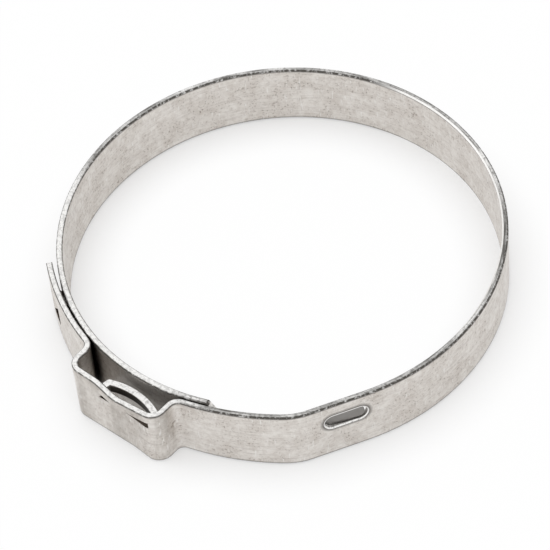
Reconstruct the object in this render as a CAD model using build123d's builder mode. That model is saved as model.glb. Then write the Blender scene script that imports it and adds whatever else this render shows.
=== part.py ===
from build123d import *

import os
from math import acos, asin, atan2, cos, degrees, radians, sin

# Single-ear hose clamp, formed from one strip of stainless steel and not yet crimped.
# The bore's axis is Z, Z = 0 is the middle of the band's width, and the ear points along -Y.
# Angles are in degrees from the ear's centre line, positive towards +X.

# Strip and bore
bore_radius = 21.25
strip_thickness = 0.6
band_width = 7.0
edge_break = 0.15
bend_radius = 0.85

# Ear
ear_inner_width = 10.0
ear_inner_height = 2.95
ear_foot_run = 1.45
crown_dish_depth = 0.2
crown_dish_offset = 2.1
crown_dish_radius = 6.0

# Strap lanced out of the crown and pushed inwards, with a narrow bowed rim left above it
rim_width = 1.05
rim_bow = 0.45
rim_bow_offset = 0.75
rim_bow_radius = 4.0
strap_width = 1.0
strap_depth = 1.65
strap_leg_run = 0.2
strap_leg_fall = 1.15
strap_right_fall = 0.72
strap_bend_radius = 0.15
lance_left_inset = 3.35
lance_right_inset = 0.75

# Lapped layers
layer_gap = 0.1
free_end_run = 9.8
free_end_lift = 0.35
kink_run = 8.75
kink_lift = 0.25
kink_radius = 6.0

# Hook on the inner layer, and the window that it stands through
hook_width = 2.4
hook_length = 2.3
hook_rise = 1.05
hook_clearance = 0.15
window_end_margin = 1.1
window_length = 2.9
window_side_clearance = 0.25
window_corner_radius = 0.3

# Tongue on the inner end, and the groove and slot that it lies in
inner_end_run = 1.5
end_corner_radius = 0.5
shoulder_length = 1.2
tongue_thickness = 0.4
tongue_width = 1.2
tongue_height = 1.05
tongue_tip_gap = 0.25
tongue_tip_round = 0.5
groove_clearance = 0.1
slot_length = 4.2
slot_width = 1.6
slot_past_ramp = 0.15
slot_edge_break = 0.12
slot_rim_tolerance = 0.01

# Values worked out from the sizes above
half_width = band_width / 2
half_thickness = strip_thickness / 2
strip_outer_radius = bore_radius + strip_thickness
layer_radius = strip_outer_radius + layer_gap
mid_ring = bore_radius + half_thickness
mid_layer = layer_radius + half_thickness
mid_bend = bend_radius + half_thickness
leg_x = ear_inner_width / 2 + half_thickness
crown_y = -(bore_radius + ear_inner_height + half_thickness)
foot_angle = degrees(asin((leg_x + ear_foot_run) / mid_layer))
foot_y = -(mid_layer - leg_x * sin(radians(foot_angle))) / cos(radians(foot_angle))
free_end_angle = -foot_angle - degrees(free_end_run / mid_layer)
kink_angle = foot_angle + degrees(kink_run / mid_layer)
inner_end_angle = foot_angle + degrees(inner_end_run / mid_ring)
back_angle = 180.0

lance_left = -leg_x + lance_left_inset
lance_right = leg_x - lance_right_inset
lance_high = half_width - rim_width
lance_low = lance_high - strap_width


def polar(radius, angle):
    """Point at a radius from the bore's axis and an angle from the ear's centre line."""
    return Vector(radius * sin(radians(angle)), -radius * cos(radians(angle)))


def around(angle):
    """Direction along the band at an angle, towards growing angles."""
    return Vector(cos(radians(angle)), sin(radians(angle)))


def turn(length):
    """Angle that a length along the middle of the strip takes up on the ring."""
    return degrees(length / mid_ring)


def reach(point):
    """Distance of a point from the bore's axis."""
    return Vector(point.X, point.Y).length


def radial_plane(radius, angle, height=0.0):
    """Plane at a radius that faces away from the axis, with its X along the band."""
    origin = polar(radius, angle) + Vector(0, 0, height)
    return Plane(origin=origin, x_dir=around(angle), z_dir=polar(1, angle))


def sector(inner, outer, start, end):
    """Face between two radii and two angles."""
    with BuildSketch() as face:
        with BuildLine():
            inside = CenterArc((0, 0), inner, start - 90, end - start)
            outside = CenterArc((0, 0), outer, start - 90, end - start)
            Line(inside @ 0, outside @ 0)
            Line(inside @ 1, outside @ 1)
        make_face()
    return face.sketch


def square_end(line):
    """Cut the round end of a profile off square, where its middle line ends."""
    direction = line % 1
    with Locations(line @ 1):
        Rectangle(
            strip_thickness,
            2 * strip_thickness,
            rotation=degrees(atan2(direction.Y, direction.X)),
            align=(Align.MIN, Align.CENTER),
            mode=Mode.SUBTRACT,
        )


# Middle lines of the two lapped layers, from the feet of the ear
left_foot = polar(mid_layer, -foot_angle)
right_foot = polar(mid_layer, foot_angle)
free_end = polar(mid_layer + free_end_lift, free_end_angle)
kink_start = polar(mid_layer + kink_lift, kink_angle)
left_layer = Edge.make_tangent_arc(left_foot, -around(-foot_angle), free_end)
right_layer = Edge.make_tangent_arc(right_foot, around(foot_angle), kink_start)

# Down from the right-hand layer to the ring: the kink, then a ramp tangent to kink and ring
kink_centre = kink_start + (right_layer % 1).rotate(Axis.Z, 90) * kink_radius
ramp_turn = degrees(acos((mid_ring - kink_radius) / kink_centre.length))
ramp_angle = degrees(atan2(kink_centre.X, -kink_centre.Y)) + ramp_turn
kink_end = kink_centre + polar(kink_radius, ramp_angle)


def outer_run(crown, radii):
    """Profile of the strip from the free end, over the ear and down to the back of the ring.

    Its line follows the middle of the strip; crown holds the points between the ear's corners.
    """
    with BuildSketch() as profile:
        with BuildLine():
            add(left_layer)
            FilletPolyline(
                left_foot,
                (-leg_x, foot_y),
                (-leg_x, crown_y),
                *crown,
                (leg_x, crown_y),
                (leg_x, foot_y),
                right_foot,
                radius=[mid_bend, mid_bend, *radii, mid_bend, mid_bend],
            )
            add(right_layer)
            TangentArc(kink_start, kink_end, tangent=right_layer % 1)
            Line(kink_end, polar(mid_ring, ramp_angle))
            CenterArc((0, 0), mid_ring, ramp_angle - 90, back_angle - ramp_angle)
            offset(amount=half_thickness)
        make_face()
        square_end(left_layer)
    return profile.sketch


# Plain crown, dished slightly inwards
dish_point = (crown_dish_offset, crown_y + crown_dish_depth)
plain_profile = outer_run([dish_point], [crown_dish_radius])

# Crown above the lanced strap, bowed outwards
rim_points = [(lance_left, crown_y), (rim_bow_offset, crown_y - rim_bow)]
rim_profile = outer_run(rim_points, [rim_bow_radius, rim_bow_radius])

# Crown at the strap: an opening with the strap hanging inside it
with BuildSketch() as strap_profile:
    add(plain_profile)
    with Locations(((lance_left + lance_right) / 2, crown_y)):
        Rectangle(lance_right - lance_left, band_width / 2, mode=Mode.SUBTRACT)
    with BuildLine():
        strap_leg = FilletPolyline(
            (lance_left - half_thickness, crown_y),
            (lance_left + half_thickness, crown_y),
            (lance_left + half_thickness + strap_leg_run, crown_y + strap_leg_fall),
            radius=strap_bend_radius + half_thickness,
        )
        ThreePointArc(
            strap_leg @ 1,
            (crown_dish_offset, crown_y + strap_depth),
            (ear_inner_width / 2, crown_y + strap_right_fall),
        )
        offset(amount=half_thickness)
    make_face()

# Hook: a tab still joined to the inner layer on its ear side, its free edge standing outwards
window_start = free_end_angle + turn(window_end_margin)
hook_edge = window_start + turn(hook_clearance + half_thickness)
hook_root = hook_edge + turn(hook_length)

with BuildSketch(Plane.XY.offset(-hook_width / 2)) as hook:
    with BuildLine():
        Line(polar(mid_ring, hook_root + turn(strip_thickness)), polar(mid_ring, hook_root))
        hook_bend = TangentArc(
            polar(mid_ring, hook_root),
            polar(mid_ring + hook_rise, hook_edge),
            tangent=-around(hook_root),
        )
        offset(amount=half_thickness)
    make_face()
    square_end(hook_bend)

# Slot in the ramp, and the end of the tongue inside it
slot_end = ramp_angle + turn(slot_past_ramp)
slot_middle = slot_end - turn(slot_length / 2)
tongue_tip = slot_end - turn(tongue_tip_gap)
shoulder_end = inner_end_angle + turn(shoulder_length)

# Waste beside the inner end: it leaves rounded corners and shoulders that taper to the tongue
with BuildPart() as shoulder_waste:
    for side in (1, -1):
        with BuildSketch(radial_plane(bore_radius, inner_end_angle)):
            with BuildLine():
                outline = FilletPolyline(
                    (-end_corner_radius, side * half_width),
                    (0, side * half_width),
                    (shoulder_length, tongue_height + side * tongue_width / 2),
                    radius=end_corner_radius,
                )
                Polyline(
                    outline @ 1,
                    (2 * shoulder_length, tongue_height + side * tongue_width / 2),
                    (2 * shoulder_length, side * band_width),
                    (-end_corner_radius, side * band_width),
                    outline @ 0,
                )
            make_face()
        extrude(amount=2 * strip_thickness, both=True)
    with BuildSketch():
        add(
            sector(
                bore_radius - strip_thickness,
                strip_outer_radius + layer_gap / 2,
                inner_end_angle - turn(band_width),
                inner_end_angle + turn(band_width),
            )
        )
    extrude(amount=band_width, both=True, mode=Mode.INTERSECT)

# Tongue, coined thinner than the strip and rounded at its tip
with BuildPart() as tongue:
    with BuildSketch(Plane.XY.offset(tongue_height - tongue_width / 2)):
        add(sector(bore_radius, bore_radius + tongue_thickness, inner_end_angle, tongue_tip))
    extrude(amount=tongue_width)
    tip_face = tongue.faces().sort_by(lambda face: face.center().dot(around(tongue_tip)))[-1]
    fillet(tip_face.edges().filter_by(Axis.Z, reverse=True), radius=tongue_tip_round)

with BuildPart() as clamp_band:
    # Three heights of the outer run: below the strap, at the strap and at the rim
    with BuildSketch(Plane.XY.offset(-half_width)):
        add(plain_profile)
    extrude(amount=half_width + lance_low)
    with BuildSketch(Plane.XY.offset(lance_low)):
        add(strap_profile.sketch)
    extrude(amount=strap_width)
    with BuildSketch(Plane.XY.offset(lance_high)):
        add(rim_profile)
    extrude(amount=rim_width)

    # Inner run, from the back of the ring to the ends of the shoulders
    with BuildSketch():
        add(
            sector(
                bore_radius,
                strip_outer_radius,
                back_angle - 360 - turn(strip_thickness),
                shoulder_end,
            )
        )
    extrude(amount=half_width, both=True)

    # Broken edges all along both sheared sides of the strip
    for side in (clamp_band.faces().sort_by(Axis.Z)[0], clamp_band.faces().sort_by(Axis.Z)[-1]):
        chamfer(side.edges(), length=edge_break)

    # Window in the left-hand layer, and the opening that the hook is lanced from
    with BuildSketch(radial_plane(strip_outer_radius, window_start + turn(window_length / 2))):
        RectangleRounded(window_length, hook_width + 2 * window_side_clearance, window_corner_radius)
    extrude(amount=ear_inner_height, mode=Mode.SUBTRACT)
    with BuildSketch(Plane.XY.offset(-hook_width / 2 - hook_clearance)):
        add(
            sector(
                bore_radius - strip_thickness,
                strip_outer_radius + layer_gap / 2,
                hook_edge - turn(half_thickness + hook_clearance),
                hook_root,
            )
        )
    extrude(amount=hook_width + 2 * hook_clearance, mode=Mode.SUBTRACT)
    add(hook.sketch)
    extrude(amount=hook_width)

    # Groove inside the ramp for the tongue, and the slot through it
    with BuildSketch(Plane.XY.offset(tongue_height - tongue_width / 2 - groove_clearance)):
        add(
            sector(
                bore_radius - strip_thickness,
                bore_radius + tongue_thickness + groove_clearance,
                kink_angle,
                slot_middle,
            )
        )
    extrude(amount=tongue_width + 2 * groove_clearance, mode=Mode.SUBTRACT)
    with BuildSketch(radial_plane(bore_radius, slot_middle, tongue_height)):
        SlotOverall(slot_length, slot_width)
    extrude(amount=ear_inner_height, both=True, mode=Mode.SUBTRACT)
    slot_rim = clamp_band.edges(Select.LAST).filter_by(
        lambda edge: min(reach(edge @ 0), reach(edge @ 1)) > strip_outer_radius - slot_rim_tolerance
    )
    chamfer(slot_rim, length=slot_edge_break)

    # Shoulders of the inner end, and the tongue
    add(shoulder_waste.part, mode=Mode.SUBTRACT)
    add(tongue.part)

clamp_band.part.label = "clamp_band"

os.makedirs("parts", exist_ok=True)
export_step(clamp_band.part, "parts/clamp_band.step")
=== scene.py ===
import math

import bpy
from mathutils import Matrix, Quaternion, Vector


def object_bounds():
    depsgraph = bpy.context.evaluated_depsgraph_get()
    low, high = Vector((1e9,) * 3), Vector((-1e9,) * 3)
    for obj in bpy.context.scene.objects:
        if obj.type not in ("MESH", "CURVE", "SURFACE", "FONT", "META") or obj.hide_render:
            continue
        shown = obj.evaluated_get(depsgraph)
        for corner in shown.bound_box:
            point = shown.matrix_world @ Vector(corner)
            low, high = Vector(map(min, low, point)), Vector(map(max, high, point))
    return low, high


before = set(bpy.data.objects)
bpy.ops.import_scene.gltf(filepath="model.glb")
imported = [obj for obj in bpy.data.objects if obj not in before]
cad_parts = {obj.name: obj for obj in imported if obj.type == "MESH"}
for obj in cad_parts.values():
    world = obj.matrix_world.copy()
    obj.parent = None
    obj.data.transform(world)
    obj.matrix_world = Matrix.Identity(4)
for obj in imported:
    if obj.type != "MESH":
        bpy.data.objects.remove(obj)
cad_low, cad_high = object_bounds()
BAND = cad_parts["clamp_band"]

bl_info = {
    "name": "Single-ear hose clamp",
    "version": (1, 0, 0),
    "blender": (4, 5, 0),
    "location": "3D View > Sidebar > Hose clamp",
    "description": "Finishes the stainless steel of a single-ear hose clamp and sets up its studio",
    "category": "Object",
}

MM = 0.001

# Places on the band that the press leaves its marks on, and where shade and highlights are
# painted, from the frame's origin. A pair gives where a mark starts and where it is at its full
# strength; the pocket's and the tongue's give a middle and how far they reach from it.
SLOT_OUT = (0.8274, -0.5615, 0.0)
SLOT_ALONG = (0.5615, 0.8274, 0.0)
SLOT_SIDE = 10 * MM
SLOT_HEIGHT = 1.12 * MM
SLOT_HALF_RUN = 1.3 * MM
SLOT_RIM = (0.97 * MM, 0.93 * MM)
SLOT_HALO = (1.35 * MM, 1.0 * MM)
SLOT_INSIDE = (0.94 * MM, 0.89 * MM)
TONGUE_RADIUS = 21.55 * MM
TONGUE_REACH = 0.2 * MM
EAR_FRONT = (-22.1 * MM, -22.9 * MM)
EAR_SIDE = (-0.5, -0.87, 0.0)
EAR_RUB = (13 * MM, 16.5 * MM)
INNER_ARRIS = (0.0, -1 * MM)
RUBBED_SIDE = (0.64, 0.77, 0.0)
RUBBED_ARRIS = (12 * MM, 15 * MM)
SOILED_LINE = (3.18 * MM, 3.34 * MM)
CREST = (3.4 * MM, 3.44 * MM)
CUT_HEIGHT = (3.2 * MM, 3.1 * MM)
LOW_CUT_HEIGHT = (2.3 * MM, 2.2 * MM)
POCKET_DEPTH = (-23.6 * MM, 0.72 * MM)
POCKET_RUN = (0.6 * MM, 3.9 * MM)
POCKET_HEIGHT = (2.44 * MM, 2.2 * MM)


def linear(hex_colour):
    """Linear colour with alpha from an sRGB hex value."""
    channels = [int(hex_colour[i:i + 2], 16) / 255 for i in (1, 3, 5)]
    return [c / 12.92 if c <= 0.04045 else ((c + 0.055) / 1.055) ** 2.4 for c in channels] + [1.0]


def colour_property(name, description, hex_colour):
    """Colour picker whose default is an sRGB hex value."""
    return bpy.props.FloatVectorProperty(
        name=name,
        description=description,
        subtype="COLOR",
        size=4,
        min=0.0,
        max=1.0,
        default=linear(hex_colour),
    )


def add_node(tree, kind, settings=None, links=None):
    """Add a node, set its properties and inputs, and link its inputs from other nodes' sockets."""
    node = tree.nodes.new(kind)
    for key, value in (settings or {}).items():
        if isinstance(key, str) and hasattr(node, key):
            setattr(node, key, value)
        else:
            node.inputs[key].default_value = value
    for key, socket in (links or {}).items():
        tree.links.new(socket, node.inputs[key])
    return node


def mark_scale(level, upright):
    """Pattern scale of marks that are so long in the band's plane and so high across it."""
    return (1 / level, 1 / level, 1 / upright)


def new_material(name):
    """Empty node material with its output node."""
    material = bpy.data.materials.new(name)
    material.use_nodes = True
    tree = material.node_tree
    tree.nodes.clear()
    return material, tree, tree.nodes.new("ShaderNodeOutputMaterial")


class ClampSteelSettings(bpy.types.PropertyGroup):
    """Finish of the strip."""

    face_colour: colour_property("Face", "Colour of the rolled faces", "#EBE7E2")
    smear_colour: colour_property(
        "Smear", "Colour of the broad smears that rolling leaves", "#D0C9C2"
    )
    speck_colour: colour_property(
        "Specks", "Colour of the fine brownish pits and specks", "#77665A"
    )
    # Also the colour of the painted highlights on the slot's rim, the arrises, their nicks and the
    # flats near the ear
    burnish_colour: colour_property(
        "Burnished edge", "Colour of the bright part of a sheared edge", "#F8F7F5"
    )
    fracture_colour: colour_property(
        "Torn edge", "Colour of the dull, torn part of a sheared edge", "#6E6C69"
    )
    # Painted shade on the arrises, on a thin line of the faces below them and round the slot
    arris_colour: colour_property("Arris", "Colour of the soiled corners of the strip", "#5A5753")
    # Painted shade in recesses, on the slot floor and in the pocket; also the worn nicks and the
    # dark lower cuts inside the strip
    recess_colour: colour_property(
        "Recess", "Colour of the press oil left in narrow recesses", "#463F38"
    )
    drag_colour: colour_property(
        "Drag marks", "Colour of the press's drag marks on the ear", "#9C958D"
    )
    face_roughness: bpy.props.FloatProperty(
        name="Face roughness",
        description="Roughness of the rolled faces",
        subtype="FACTOR",
        min=0.0,
        max=1.0,
        default=0.38,
    )
    edge_roughness: bpy.props.FloatProperty(
        name="Edge roughness",
        description="Roughness of the sheared edges",
        subtype="FACTOR",
        min=0.0,
        max=1.0,
        default=0.3,
    )
    smear_size: bpy.props.FloatProperty(
        name="Smear size",
        description="Width of a broad smear",
        unit="LENGTH",
        default=2.2 * MM,
    )
    mottle_size: bpy.props.FloatProperty(
        name="Mottle size",
        description="Width of a patch of the mottle",
        unit="LENGTH",
        default=0.55 * MM,
    )
    speck_size: bpy.props.FloatProperty(
        name="Speck size",
        description="Width of a pit or speck",
        unit="LENGTH",
        default=0.22 * MM,
    )
    streak_width: bpy.props.FloatProperty(
        name="Streak width",
        description="Width of a rolling streak",
        unit="LENGTH",
        default=0.16 * MM,
    )
    streak_length: bpy.props.FloatProperty(
        name="Streak length",
        description="Length of a rolling streak along the strip",
        unit="LENGTH",
        default=2.6 * MM,
    )
    drag_width: bpy.props.FloatProperty(
        name="Drag mark width",
        description="Width of a drag mark on the ear",
        unit="LENGTH",
        default=1.8 * MM,
    )
    drag_length: bpy.props.FloatProperty(
        name="Drag mark length",
        description="Length of a drag mark across the strip",
        unit="LENGTH",
        default=9.0 * MM,
    )
    scratch_width: bpy.props.FloatProperty(
        name="Scratch width",
        description="Width of a fine scratch",
        unit="LENGTH",
        default=0.14 * MM,
    )
    scratch_length: bpy.props.FloatProperty(
        name="Scratch length",
        description="Length of a fine scratch across the strip",
        unit="LENGTH",
        default=1.2 * MM,
    )
    torn_size: bpy.props.FloatProperty(
        name="Torn patch size",
        description="Length of a torn patch on a sheared edge",
        unit="LENGTH",
        default=6.0 * MM,
    )
    nick_size: bpy.props.FloatProperty(
        name="Nick size",
        description="Width of a nick in a sheared edge",
        unit="LENGTH",
        default=0.35 * MM,
    )
    # How far the painted shade in recesses reaches
    recess_depth: bpy.props.FloatProperty(
        name="Recess depth",
        description="How near the walls of a recess are where press oil stays",
        unit="LENGTH",
        default=2.2 * MM,
    )


class ClampStageSettings(bpy.types.PropertyGroup):
    """Camera, floor, lamp and surroundings."""

    azimuth: bpy.props.FloatProperty(
        name="Azimuth",
        description="Direction of the camera from the clamp, from +X towards +Y",
        subtype="ANGLE",
        default=math.radians(-45.01),
    )
    elevation: bpy.props.FloatProperty(
        name="Elevation",
        description="Height of the camera above the floor, as an angle",
        subtype="ANGLE",
        default=math.radians(49.880),
    )
    roll: bpy.props.FloatProperty(
        name="Roll",
        description="Turn of the camera about its line of sight",
        subtype="ANGLE",
        default=math.radians(-6.046),
    )
    distance: bpy.props.FloatProperty(
        name="Distance",
        description="From the camera to the point that it looks at",
        unit="LENGTH",
        default=298.16 * MM,
    )
    target: bpy.props.FloatVectorProperty(
        name="Target",
        description="Point that the camera looks at",
        subtype="XYZ",
        unit="LENGTH",
        size=3,
        default=(1.052 * MM, -2.560 * MM, 0.0),
    )
    focal_length: bpy.props.FloatProperty(
        name="Focal length",
        description="Focal length of the camera, in millimetres",
        subtype="DISTANCE_CAMERA",
        default=201.60,
    )
    floor_size: bpy.props.FloatProperty(
        name="Floor size",
        description="Side of the square floor",
        unit="LENGTH",
        default=4.0,
    )
    floor_white: bpy.props.FloatProperty(
        name="Floor white",
        description="How far the floor is drawn to plain white where it is seen",
        subtype="FACTOR",
        min=0.0,
        max=1.0,
        default=0.97,
    )
    shadow_reach: bpy.props.FloatProperty(
        name="Shadow reach",
        description="How far from the clamp the floor keeps its own shading",
        unit="LENGTH",
        default=5.0 * MM,
    )
    floor_gleam: bpy.props.FloatProperty(
        name="Floor gleam",
        description="How far the floor is drawn to plain white where the steel reflects it",
        subtype="FACTOR",
        min=0.0,
        max=1.0,
        default=0.42,
    )
    sky_strength: bpy.props.FloatProperty(
        name="Surroundings",
        description="Strength of the light from the surroundings",
        default=0.97,
    )
    lamp_power: bpy.props.FloatProperty(
        name="Softbox",
        description="Power of the softbox",
        unit="POWER",
        default=0.6,
    )
    lamp_size: bpy.props.FloatProperty(
        name="Softbox size",
        description="Side of the square softbox",
        unit="LENGTH",
        default=0.5,
    )
    lamp_place: bpy.props.FloatVectorProperty(
        name="Softbox place",
        description="Where the softbox stands, turned towards the clamp",
        subtype="XYZ",
        unit="LENGTH",
        size=3,
        default=(-0.55, -0.15, 0.5),
    )


class CLAMP_OT_finish_steel(bpy.types.Operator):
    """Give the strip its rolled, stamped and sheared stainless steel finish, with painted shade and
    highlights
    """

    bl_idname = "clamp.finish_steel"
    bl_label = "Finish steel"

    def execute(self, context):
        settings = context.scene.clamp_steel
        # Austenitic stainless steel strip, cold rolled, pickled, slit to width and press formed.
        # Its faces look pale and satin, with a fine brownish mottle and faint streaks along the
        # strip. Its sheared sides are half burnished and half torn, so they flicker light and dark.
        material, tree, output = new_material("stainless_steel_cold_rolled_and_sheared")
        place = add_node(tree, "ShaderNodeTexCoord")
        position = place.outputs["Object"]
        spot = add_node(tree, "ShaderNodeSeparateXYZ", None, {0: position})
        facing = add_node(tree, "ShaderNodeSeparateXYZ", None, {0: place.outputs["Normal"]})
        upright = add_node(
            tree,
            "ShaderNodeMath",
            {"operation": "ABSOLUTE"},
            {0: facing.outputs["Z"]},
        )

        outwards = add_node(
            tree,
            "ShaderNodeVectorMath",
            {"operation": "DOT_PRODUCT"},
            {0: position, 1: place.outputs["Normal"]},
        )
        outer_face = add_node(
            tree,
            "ShaderNodeMath",
            {"operation": "GREATER_THAN", 1: 0.0},
            {0: outwards.outputs["Value"]},
        )

        # Sheared sides face along the bore's axis; their rubbed arrises face half that way
        side = add_node(
            tree,
            "ShaderNodeMapRange",
            {"From Min": 0.35, "From Max": 0.55},
            {"Value": upright.outputs[0]},
        )
        flat = add_node(
            tree,
            "ShaderNodeMapRange",
            {"From Min": 0.8, "From Max": 0.92},
            {"Value": upright.outputs[0]},
        )

        # Broad smears, then a mottle that is drawn a little coarser than real pickling grain
        smears = add_node(
            tree,
            "ShaderNodeTexNoise",
            {"Scale": 1 / settings.smear_size, "Detail": 4.0, "Roughness": 0.6},
            {"Vector": position},
        )
        mottle = add_node(
            tree,
            "ShaderNodeTexNoise",
            {"Scale": 1 / settings.mottle_size, "Detail": 6.0, "Roughness": 0.7},
            {"Vector": position},
        )
        smear_mask = add_node(
            tree,
            "ShaderNodeMapRange",
            {"From Min": 0.35, "From Max": 0.75, "To Max": 0.8},
            {"Value": smears.outputs["Fac"]},
        )
        mottle_mask = add_node(
            tree,
            "ShaderNodeMapRange",
            {"From Min": 0.42, "From Max": 0.72, "To Max": 0.6},
            {"Value": mottle.outputs["Fac"]},
        )
        smeared = add_node(
            tree,
            "ShaderNodeMix",
            {"data_type": "RGBA", 6: settings.face_colour, 7: settings.smear_colour},
            {0: smear_mask.outputs[0]},
        )
        mottled = add_node(
            tree,
            "ShaderNodeMix",
            {"data_type": "RGBA", 7: settings.smear_colour},
            {0: mottle_mask.outputs[0], 6: smeared.outputs[2]},
        )

        # Rolling streaks along the strip, drawn coarser than real ones, which are too fine to show
        streak_space = add_node(
            tree,
            "ShaderNodeMapping",
            {"Scale": mark_scale(settings.streak_length, settings.streak_width)},
            {"Vector": position},
        )
        streaks = add_node(
            tree,
            "ShaderNodeTexNoise",
            {"Scale": 1.0, "Detail": 3.0, "Roughness": 0.6},
            {"Vector": streak_space.outputs[0]},
        )
        streak_mask = add_node(
            tree,
            "ShaderNodeMapRange",
            {"From Min": 0.5, "From Max": 0.72, "To Max": 0.22},
            {"Value": streaks.outputs["Fac"]},
        )
        streaked = add_node(
            tree,
            "ShaderNodeMix",
            {"data_type": "RGBA", 7: settings.speck_colour},
            {0: streak_mask.outputs[0], 6: mottled.outputs[2]},
        )

        # Drag marks that the press leaves down the ear and its bends
        drag_space = add_node(
            tree,
            "ShaderNodeMapping",
            {"Scale": mark_scale(settings.drag_width, settings.drag_length)},
            {"Vector": position},
        )
        drags = add_node(
            tree,
            "ShaderNodeTexNoise",
            {"Scale": 1.0, "Detail": 4.0, "Roughness": 0.65},
            {"Vector": drag_space.outputs[0]},
        )
        drag_mask = add_node(
            tree,
            "ShaderNodeMapRange",
            {"From Min": 0.4, "From Max": 0.66, "To Min": 0.05, "To Max": 0.6},
            {"Value": drags.outputs["Fac"]},
        )
        on_ear = add_node(
            tree,
            "ShaderNodeMapRange",
            {"From Min": EAR_FRONT[0], "From Max": EAR_FRONT[1]},
            {"Value": spot.outputs["Y"]},
        )
        drag_share = add_node(
            tree,
            "ShaderNodeMath",
            {"operation": "MULTIPLY"},
            {0: drag_mask.outputs[0], 1: on_ear.outputs[0]},
        )
        dragged = add_node(
            tree,
            "ShaderNodeMix",
            {"data_type": "RGBA", 7: settings.drag_colour},
            {0: drag_share.outputs[0], 6: streaked.outputs[2]},
        )

        # Fine bright scratches across the strip, drawn coarser than real ones, which would not show
        scratch_space = add_node(
            tree,
            "ShaderNodeMapping",
            {"Scale": mark_scale(settings.scratch_width, settings.scratch_length)},
            {"Vector": position},
        )
        scratches = add_node(
            tree,
            "ShaderNodeTexNoise",
            {"Scale": 1.0, "Detail": 1.0},
            {"Vector": scratch_space.outputs[0]},
        )
        scratch_mask = add_node(
            tree,
            "ShaderNodeMapRange",
            {"From Min": 0.66, "From Max": 0.74, "To Max": 0.6},
            {"Value": scratches.outputs["Fac"]},
        )
        scratched = add_node(
            tree,
            "ShaderNodeMix",
            {"data_type": "RGBA", 7: settings.burnish_colour},
            {0: scratch_mask.outputs[0], 6: dragged.outputs[2]},
        )

        # Pits and specks of pickled scale, thickest where the smears are
        specks = add_node(
            tree,
            "ShaderNodeTexNoise",
            {"Scale": 1 / settings.speck_size, "Detail": 2.0, "Roughness": 0.5},
            {"Vector": position},
        )
        speck_mask = add_node(
            tree,
            "ShaderNodeMapRange",
            {"From Min": 0.58, "From Max": 0.68, "To Max": 1.0},
            {"Value": specks.outputs["Fac"]},
        )
        speck_patches = add_node(
            tree,
            "ShaderNodeMath",
            {"operation": "MULTIPLY"},
            {0: speck_mask.outputs[0], 1: smear_mask.outputs[0]},
        )
        speckled = add_node(
            tree,
            "ShaderNodeMix",
            {"data_type": "RGBA", 7: settings.speck_colour},
            {0: speck_patches.outputs[0], 6: scratched.outputs[2]},
        )

        # Thin line of painted shade on the faces just below the arrises
        height = add_node(tree, "ShaderNodeMath", {"operation": "ABSOLUTE"}, {0: spot.outputs["Z"]})
        soiled_line = add_node(
            tree,
            "ShaderNodeMapRange",
            {"From Min": SOILED_LINE[0], "From Max": SOILED_LINE[1], "To Max": 0.75},
            {"Value": height.outputs[0]},
        )
        lined = add_node(
            tree,
            "ShaderNodeMix",
            {"data_type": "RGBA", 7: settings.arris_colour},
            {0: soiled_line.outputs[0], 6: speckled.outputs[2]},
        )

        # Bright rim round the slot, partly rubbed by the punch and partly a painted highlight, and
        # painted shade outside it
        slot_along = add_node(
            tree,
            "ShaderNodeVectorMath",
            {"operation": "DOT_PRODUCT", 1: SLOT_ALONG},
            {0: position},
        )
        slot_out = add_node(
            tree,
            "ShaderNodeVectorMath",
            {"operation": "DOT_PRODUCT", 1: SLOT_OUT},
            {0: position},
        )
        slot_side = add_node(
            tree,
            "ShaderNodeMath",
            {"operation": "GREATER_THAN", 1: SLOT_SIDE},
            {0: slot_out.outputs["Value"]},
        )
        slot_distance = add_node(
            tree,
            "ShaderNodeMath",
            {"operation": "ABSOLUTE"},
            {0: slot_along.outputs["Value"]},
        )
        past_run = add_node(
            tree,
            "ShaderNodeMath",
            {"operation": "SUBTRACT", 1: SLOT_HALF_RUN},
            {0: slot_distance.outputs[0]},
        )
        past_end = add_node(
            tree,
            "ShaderNodeMath",
            {"operation": "MAXIMUM", 1: 0.0},
            {0: past_run.outputs[0]},
        )
        from_middle = add_node(
            tree,
            "ShaderNodeMath",
            {"operation": "SUBTRACT", 1: SLOT_HEIGHT},
            {0: spot.outputs["Z"]},
        )
        from_run = add_node(
            tree,
            "ShaderNodeCombineXYZ",
            None,
            {"X": past_end.outputs[0], "Y": from_middle.outputs[0]},
        )
        slot_reach = add_node(
            tree,
            "ShaderNodeVectorMath",
            {"operation": "LENGTH"},
            {0: from_run.outputs[0]},
        )
        rim_mask = add_node(
            tree,
            "ShaderNodeMapRange",
            {"From Min": SLOT_RIM[0], "From Max": SLOT_RIM[1]},
            {"Value": slot_reach.outputs["Value"]},
        )
        halo_mask = add_node(
            tree,
            "ShaderNodeMapRange",
            {"From Min": SLOT_HALO[0], "From Max": SLOT_HALO[1], "To Max": 0.85},
            {"Value": slot_reach.outputs["Value"]},
        )
        in_slot = add_node(
            tree,
            "ShaderNodeMapRange",
            {"From Min": SLOT_INSIDE[0], "From Max": SLOT_INSIDE[1]},
            {"Value": slot_reach.outputs["Value"]},
        )
        slot_outside = add_node(
            tree,
            "ShaderNodeMath",
            {"operation": "MULTIPLY"},
            {0: outer_face.outputs[0], 1: slot_side.outputs[0]},
        )
        rim_share = add_node(
            tree,
            "ShaderNodeMath",
            {"operation": "MULTIPLY"},
            {0: rim_mask.outputs[0], 1: slot_outside.outputs[0]},
        )
        halo_share = add_node(
            tree,
            "ShaderNodeMath",
            {"operation": "MULTIPLY"},
            {0: halo_mask.outputs[0], 1: slot_outside.outputs[0]},
        )
        slot_share = add_node(
            tree,
            "ShaderNodeMath",
            {"operation": "MULTIPLY"},
            {0: in_slot.outputs[0], 1: slot_side.outputs[0]},
        )
        not_slot = add_node(
            tree,
            "ShaderNodeMath",
            {"operation": "SUBTRACT", 0: 1.0},
            {1: slot_share.outputs[0]},
        )
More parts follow.
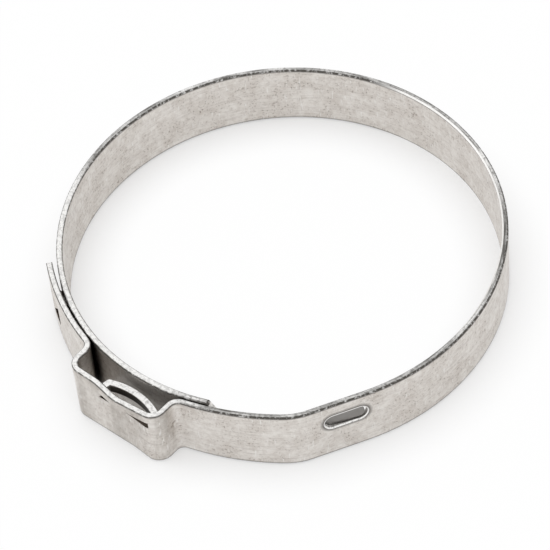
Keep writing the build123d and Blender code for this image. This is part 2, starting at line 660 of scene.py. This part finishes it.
        haloed = add_node(
            tree,
            "ShaderNodeMix",
            {"data_type": "RGBA", 7: settings.arris_colour},
            {0: halo_share.outputs[0], 6: lined.outputs[2]},
        )
        face = add_node(
            tree,
            "ShaderNodeMix",
            {"data_type": "RGBA", 7: settings.burnish_colour},
            {0: rim_share.outputs[0], 6: haloed.outputs[2]},
        )

        # Sheared sides: long torn and burnished lines with the knives' nicks across them, rubbed
        # bright where the ear was formed and painted brighter there as a highlight, between two
        # arrises in painted shade
        flat_place = add_node(
            tree,
            "ShaderNodeVectorMath",
            {"operation": "MULTIPLY", 1: (1, 1, 0)},
            {0: position},
        )
        reach = add_node(
            tree,
            "ShaderNodeVectorMath",
            {"operation": "LENGTH"},
            {0: flat_place.outputs[0]},
        )
        torn = add_node(
            tree,
            "ShaderNodeTexNoise",
            {"Scale": 1 / settings.torn_size, "Detail": 2.0, "Roughness": 0.5},
            {"Vector": position},
        )
        line_place = add_node(
            tree,
            "ShaderNodeCombineXYZ",
            None,
            {"X": spot.outputs["X"], "Y": spot.outputs["Y"], "Z": reach.outputs["Value"]},
        )
        line_space = add_node(
            tree,
            "ShaderNodeMapping",
            {"Scale": mark_scale(settings.streak_length, settings.streak_width)},
            {"Vector": line_place.outputs[0]},
        )
        lines = add_node(
            tree,
            "ShaderNodeTexNoise",
            {"Scale": 1.0, "Detail": 2.0, "Roughness": 0.6},
            {"Vector": line_space.outputs[0]},
        )
        nicks = add_node(
            tree,
            "ShaderNodeTexNoise",
            {"Scale": 1 / settings.nick_size, "Detail": 3.0, "Roughness": 0.7},
            {"Vector": position},
        )
        shear = add_node(
            tree,
            "ShaderNodeMath",
            {"operation": "ADD"},
            {0: torn.outputs["Fac"], 1: lines.outputs["Fac"]},
        )
        burnish = add_node(
            tree,
            "ShaderNodeMapRange",
            {"From Min": 0.78, "From Max": 1.3},
            {"Value": shear.outputs[0]},
        )
        # Near the ear the flats and the crest are partly rubbed bright and partly a painted
        # highlight
        ear_side = add_node(
            tree,
            "ShaderNodeVectorMath",
            {"operation": "DOT_PRODUCT", 1: EAR_SIDE},
            {0: position},
        )
        near_ear = add_node(
            tree,
            "ShaderNodeMapRange",
            {"From Min": EAR_RUB[0], "From Max": EAR_RUB[1]},
            {"Value": ear_side.outputs["Value"]},
        )
        bright = add_node(
            tree,
            "ShaderNodeMath",
            {"operation": "MAXIMUM"},
            {0: burnish.outputs[0], 1: near_ear.outputs[0]},
        )
        nicked = add_node(
            tree,
            "ShaderNodeMapRange",
            {"From Min": 0.35, "From Max": 0.52, "To Min": 0.3},
            {"Value": nicks.outputs["Fac"]},
        )
        smooth_ear = add_node(
            tree,
            "ShaderNodeMath",
            {"operation": "MULTIPLY", 1: 0.7},
            {0: near_ear.outputs[0]},
        )
        unmarked = add_node(
            tree,
            "ShaderNodeMath",
            {"operation": "MAXIMUM"},
            {0: nicked.outputs[0], 1: smooth_ear.outputs[0]},
        )
        burnish_mask = add_node(
            tree,
            "ShaderNodeMath",
            {"operation": "MULTIPLY"},
            {0: bright.outputs[0], 1: unmarked.outputs[0]},
        )
        sheared = add_node(
            tree,
            "ShaderNodeMix",
            {"data_type": "RGBA", 6: settings.fracture_colour, 7: settings.burnish_colour},
            {0: burnish_mask.outputs[0]},
        )
        inner_arris = add_node(
            tree,
            "ShaderNodeMapRange",
            {"From Min": INNER_ARRIS[0], "From Max": INNER_ARRIS[1]},
            {"Value": outwards.outputs["Value"]},
        )
        # Painted highlight on the inner arrises along one side of the ring
        rubbed_side = add_node(
            tree,
            "ShaderNodeVectorMath",
            {"operation": "DOT_PRODUCT", 1: RUBBED_SIDE},
            {0: position},
        )
        rubbed_share = add_node(
            tree,
            "ShaderNodeMapRange",
            {"From Min": RUBBED_ARRIS[0], "From Max": RUBBED_ARRIS[1]},
            {"Value": rubbed_side.outputs["Value"]},
        )
        rubbed_arris = add_node(
            tree,
            "ShaderNodeMath",
            {"operation": "MULTIPLY"},
            {0: inner_arris.outputs[0], 1: rubbed_share.outputs[0]},
        )
        # Painted glints on the arrises at the nicks
        arris_nicks = add_node(
            tree,
            "ShaderNodeMapRange",
            {"From Min": 0.52, "From Max": 0.66, "To Max": 0.6},
            {"Value": nicks.outputs["Fac"]},
        )
        arris_shine = add_node(
            tree,
            "ShaderNodeMath",
            {"operation": "MAXIMUM"},
            {0: rubbed_arris.outputs[0], 1: arris_nicks.outputs[0]},
        )
        # Arrises in painted shade, with the painted highlights above mixed in
        arris = add_node(
            tree,
            "ShaderNodeMix",
            {"data_type": "RGBA", 6: settings.arris_colour, 7: settings.burnish_colour},
            {0: arris_shine.outputs[0]},
        )
        crest = add_node(
            tree,
            "ShaderNodeMapRange",
            {"From Min": CREST[0], "From Max": CREST[1]},
            {"Value": height.outputs[0]},
        )
        rubbed_crest = add_node(
            tree,
            "ShaderNodeMath",
            {"operation": "MULTIPLY"},
            {0: crest.outputs[0], 1: near_ear.outputs[0]},
        )
        top = add_node(
            tree,
            "ShaderNodeMath",
            {"operation": "MAXIMUM"},
            {0: flat.outputs[0], 1: rubbed_crest.outputs[0]},
        )
        edges = add_node(
            tree,
            "ShaderNodeMix",
            {"data_type": "RGBA"},
            {0: top.outputs[0], 6: arris.outputs[2], 7: sheared.outputs[2]},
        )

        # Cuts inside the strip: the strap and the slot's rim are bright, partly burnished and
        # partly a painted highlight, and a little worn by nicks, and the lower cuts are drawn dark
        inside = add_node(
            tree,
            "ShaderNodeMapRange",
            {"From Min": CUT_HEIGHT[0], "From Max": CUT_HEIGHT[1]},
            {"Value": height.outputs[0]},
        )
        low_cut = add_node(
            tree,
            "ShaderNodeMapRange",
            {"From Min": LOW_CUT_HEIGHT[0], "From Max": LOW_CUT_HEIGHT[1]},
            {"Value": height.outputs[0]},
        )
        low_flat = add_node(
            tree,
            "ShaderNodeMath",
            {"operation": "MULTIPLY"},
            {0: low_cut.outputs[0], 1: flat.outputs[0]},
        )
        oily = add_node(
            tree,
            "ShaderNodeMath",
            {"operation": "MULTIPLY"},
            {0: low_flat.outputs[0], 1: not_slot.outputs[0]},
        )
        worn = add_node(
            tree,
            "ShaderNodeMapRange",
            {"From Min": 1.0, "From Max": 0.3, "To Max": 0.45},
            {"Value": nicked.outputs[0]},
        )
        cut_soil = add_node(
            tree,
            "ShaderNodeMath",
            {"operation": "MAXIMUM"},
            {0: oily.outputs[0], 1: worn.outputs[0]},
        )
        cut = add_node(
            tree,
            "ShaderNodeMix",
            {"data_type": "RGBA", 6: settings.burnish_colour, 7: settings.recess_colour},
            {0: cut_soil.outputs[0]},
        )
        all_edges = add_node(
            tree,
            "ShaderNodeMix",
            {"data_type": "RGBA"},
            {0: inside.outputs[0], 6: edges.outputs[2], 7: cut.outputs[2]},
        )
        bare = add_node(
            tree,
            "ShaderNodeMix",
            {"data_type": "RGBA"},
            {0: side.outputs[0], 6: face.outputs[2], 7: all_edges.outputs[2]},
        )

        # Painted shade in the slot, the window, the tight bends and between the layers, darker
        # where the walls close in
        shelter = add_node(
            tree,
            "ShaderNodeAmbientOcclusion",
            {"samples": 8, "only_local": True, "Distance": settings.recess_depth},
        )
        recess = add_node(
            tree,
            "ShaderNodeMapRange",
            {"From Min": 0.55, "From Max": 0.15},
            {"Value": shelter.outputs["AO"]},
        )
        # The tongue and the slot's walls lie deeper than the strip's outer face on the ring, and
        # get their own even painted shade
        below_skin = add_node(
            tree,
            "ShaderNodeMath",
            {"operation": "COMPARE", 1: TONGUE_RADIUS, 2: TONGUE_REACH},
            {0: reach.outputs["Value"]},
        )
        deep = add_node(
            tree,
            "ShaderNodeMath",
            {"operation": "MULTIPLY"},
            {0: below_skin.outputs[0], 1: slot_share.outputs[0]},
        )
        deep_share = add_node(
            tree,
            "ShaderNodeMath",
            {"operation": "MULTIPLY", 1: 0.75},
            {0: deep.outputs[0]},
        )
        slot_clear = add_node(
            tree,
            "ShaderNodeMapRange",
            {"To Min": 0.4},
            {"Value": not_slot.outputs[0]},
        )
        recess_share = add_node(
            tree,
            "ShaderNodeMath",
            {"operation": "MULTIPLY"},
            {0: recess.outputs[0], 1: slot_clear.outputs[0]},
        )
        # Painted shade in the pocket between the strap and the crown
        pocket_depth = add_node(
            tree,
            "ShaderNodeMath",
            {"operation": "COMPARE", 1: POCKET_DEPTH[0], 2: POCKET_DEPTH[1]},
            {0: spot.outputs["Y"]},
        )
        pocket_run = add_node(
            tree,
            "ShaderNodeMath",
            {"operation": "COMPARE", 1: POCKET_RUN[0], 2: POCKET_RUN[1]},
            {0: spot.outputs["X"]},
        )
        pocket_low = add_node(
            tree,
            "ShaderNodeMapRange",
            {"From Min": POCKET_HEIGHT[0], "From Max": POCKET_HEIGHT[1], "To Max": 0.85},
            {"Value": spot.outputs["Z"]},
        )
        pocket_place = add_node(
            tree,
            "ShaderNodeMath",
            {"operation": "MULTIPLY"},
            {0: pocket_depth.outputs[0], 1: pocket_run.outputs[0]},
        )
        pocket = add_node(
            tree,
            "ShaderNodeMath",
            {"operation": "MULTIPLY"},
            {0: pocket_place.outputs[0], 1: pocket_low.outputs[0]},
        )
        sunk = add_node(
            tree,
            "ShaderNodeMath",
            {"operation": "MAXIMUM"},
            {0: pocket.outputs[0], 1: deep_share.outputs[0]},
        )
        soiled = add_node(
            tree,
            "ShaderNodeMath",
            {"operation": "MAXIMUM"},
            {0: recess_share.outputs[0], 1: sunk.outputs[0]},
        )
        colour = add_node(
            tree,
            "ShaderNodeMix",
            {"data_type": "RGBA", 7: settings.recess_colour},
            {0: soiled.outputs[0], 6: bare.outputs[2]},
        )

        # Roughness follows the mottle on the faces and the torn patches on the sides
        face_gloss = add_node(
            tree,
            "ShaderNodeMapRange",
            {
                "From Min": 0.3,
                "From Max": 0.7,
                "To Min": settings.face_roughness - 0.08,
                "To Max": settings.face_roughness + 0.12,
            },
            {"Value": mottle.outputs["Fac"]},
        )
        side_gloss = add_node(
            tree,
            "ShaderNodeMapRange",
            {"To Min": settings.edge_roughness + 0.25, "To Max": settings.edge_roughness},
            {"Value": burnish_mask.outputs[0]},
        )
        roughness = add_node(
            tree,
            "ShaderNodeMix",
            {"data_type": "FLOAT"},
            {0: side.outputs[0], 2: face_gloss.outputs[0], 3: side_gloss.outputs[0]},
        )

        # Relief of the mottle, the streaks and the knife marks
        relief = add_node(
            tree,
            "ShaderNodeMath",
            {"operation": "ADD"},
            {0: mottle.outputs["Fac"], 1: streaks.outputs["Fac"]},
        )
        relief_bump = add_node(
            tree,
            "ShaderNodeBump",
            {"Strength": 0.25, "Distance": 0.02 * MM},
            {"Height": relief.outputs[0]},
        )
        nick_bump = add_node(
            tree,
            "ShaderNodeBump",
            {"Distance": 0.04 * MM},
            {
                "Strength": side.outputs[0],
                "Height": nicks.outputs["Fac"],
                "Normal": relief_bump.outputs[0],
            },
        )
        steel = add_node(
            tree,
            "ShaderNodeBsdfPrincipled",
            {"Metallic": 1.0},
            {
                "Base Color": colour.outputs[2],
                "Roughness": roughness.outputs[0],
                "Normal": nick_bump.outputs[0],
            },
        )
        tree.links.new(steel.outputs[0], output.inputs["Surface"])
        BAND.data.materials.clear()
        BAND.data.materials.append(material)
        return {"FINISHED"}


class CLAMP_OT_build_stage(bpy.types.Operator):
    """Set up the floor, the lamp, the surroundings and the camera"""

    bl_idname = "clamp.build_stage"
    bl_label = "Build stage"

    def execute(self, context):
        settings = context.scene.clamp_stage
        scene = context.scene
        scene.view_settings.view_transform = "Standard"

        # Floor: matt white board that keeps the clamp's shadow. Away from the clamp it is drawn
        # nearly to plain white where it is seen, and less far where the steel reflects it.
        bpy.ops.mesh.primitive_plane_add(size=settings.floor_size, location=(0, 0, cad_low[2]))
        floor = context.active_object
        floor.name = "studio_floor"
        material, tree, output = new_material("matt_white_board")
        board = add_node(tree, "ShaderNodeBsdfDiffuse", {"Color": linear("#F4F4F4")})
        white = add_node(tree, "ShaderNodeEmission", {"Strength": 1.0})
        rays = add_node(tree, "ShaderNodeLightPath")
        openness = add_node(
            tree,
            "ShaderNodeAmbientOcclusion",
            {"samples": 8, "Distance": settings.shadow_reach},
        )
        clear = add_node(
            tree,
            "ShaderNodeMapRange",
            {"From Min": 0.45, "To Min": 0.35, "To Max": settings.floor_white},
            {"Value": openness.outputs["AO"]},
        )
        in_view = add_node(
            tree,
            "ShaderNodeMath",
            {"operation": "MULTIPLY"},
            {0: rays.outputs["Is Camera Ray"], 1: clear.outputs[0]},
        )
        share = add_node(
            tree,
            "ShaderNodeMath",
            {"operation": "MULTIPLY_ADD", 1: settings.floor_gleam},
            {0: rays.outputs["Is Glossy Ray"], 2: in_view.outputs[0]},
        )
        surface = add_node(
            tree,
            "ShaderNodeMixShader",
            None,
            {0: share.outputs[0], 1: board.outputs[0], 2: white.outputs[0]},
        )
        tree.links.new(surface.outputs[0], output.inputs["Surface"])
        floor.data.materials.append(material)

        # Surroundings: an even white studio, seen as plain white
        world = bpy.data.worlds.new("white_studio")
        scene.world = world
        world.use_nodes = True
        tree = world.node_tree
        tree.nodes.clear()
        rays = add_node(tree, "ShaderNodeLightPath")
        strength = add_node(
            tree,
            "ShaderNodeMapRange",
            {"To Min": settings.sky_strength, "To Max": 1.0},
            {"Value": rays.outputs["Is Camera Ray"]},
        )
        backdrop = add_node(
            tree,
            "ShaderNodeBackground",
            {"Color": (1, 1, 1, 1)},
            {"Strength": strength.outputs[0]},
        )
        add_node(tree, "ShaderNodeOutputWorld", None, {"Surface": backdrop.outputs[0]})

        # One softbox, high on the side of the free end
        lamp_data = bpy.data.lights.new("side_softbox", "AREA")
        lamp_data.shape = "RECTANGLE"
        lamp_data.size = settings.lamp_size
        lamp_data.size_y = settings.lamp_size
        lamp_data.energy = settings.lamp_power
        lamp = bpy.data.objects.new("side_softbox", lamp_data)
        lamp.location = settings.lamp_place
        lamp.rotation_mode = "QUATERNION"
        lamp.rotation_quaternion = Vector(lamp.location).to_track_quat("Z", "Y")
        scene.collection.objects.link(lamp)

        # Camera
        camera_data = bpy.data.cameras.new("camera")
        camera_data.sensor_width = 36.0
        camera_data.lens = settings.focal_length
        camera_data.clip_start = 0.01
        camera = bpy.data.objects.new("camera", camera_data)
        away = Vector(
            (
                math.cos(settings.elevation) * math.cos(settings.azimuth),
                math.cos(settings.elevation) * math.sin(settings.azimuth),
                math.sin(settings.elevation),
            )
        )
        camera.rotation_mode = "QUATERNION"
        level_view = away.to_track_quat("Z", "Y")
        camera.rotation_quaternion = level_view @ Quaternion((0, 0, 1), settings.roll)
        camera.location = Vector(settings.target) + away * settings.distance
        scene.collection.objects.link(camera)
        scene.camera = camera
        return {"FINISHED"}


class CLAMP_PT_sidebar(bpy.types.Panel):
    """Settings and steps of the hose clamp"""

    bl_idname = "CLAMP_PT_sidebar"
    bl_label = "Hose clamp"
    bl_space_type = "VIEW_3D"
    bl_region_type = "UI"
    bl_category = "Hose clamp"

    def draw(self, context):
        for group in (context.scene.clamp_steel, context.scene.clamp_stage):
            box = self.layout.box()
            for name in group.__annotations__:
                box.prop(group, name)
        for operator in OPERATORS:
            self.layout.operator(operator.bl_idname)


OPERATORS = (CLAMP_OT_finish_steel, CLAMP_OT_build_stage)
CLASSES = (ClampSteelSettings, ClampStageSettings, *OPERATORS, CLAMP_PT_sidebar)


def register():
    for cls in CLASSES:
        bpy.utils.register_class(cls)
    bpy.types.Scene.clamp_steel = bpy.props.PointerProperty(type=ClampSteelSettings)
    bpy.types.Scene.clamp_stage = bpy.props.PointerProperty(type=ClampStageSettings)


def unregister():
    del bpy.types.Scene.clamp_stage
    del bpy.types.Scene.clamp_steel
    for cls in reversed(CLASSES):
        bpy.utils.unregister_class(cls)


def main():
    register()
    bpy.ops.clamp.finish_steel()
    bpy.ops.clamp.build_stage()


if __name__ == "__main__":
    main()
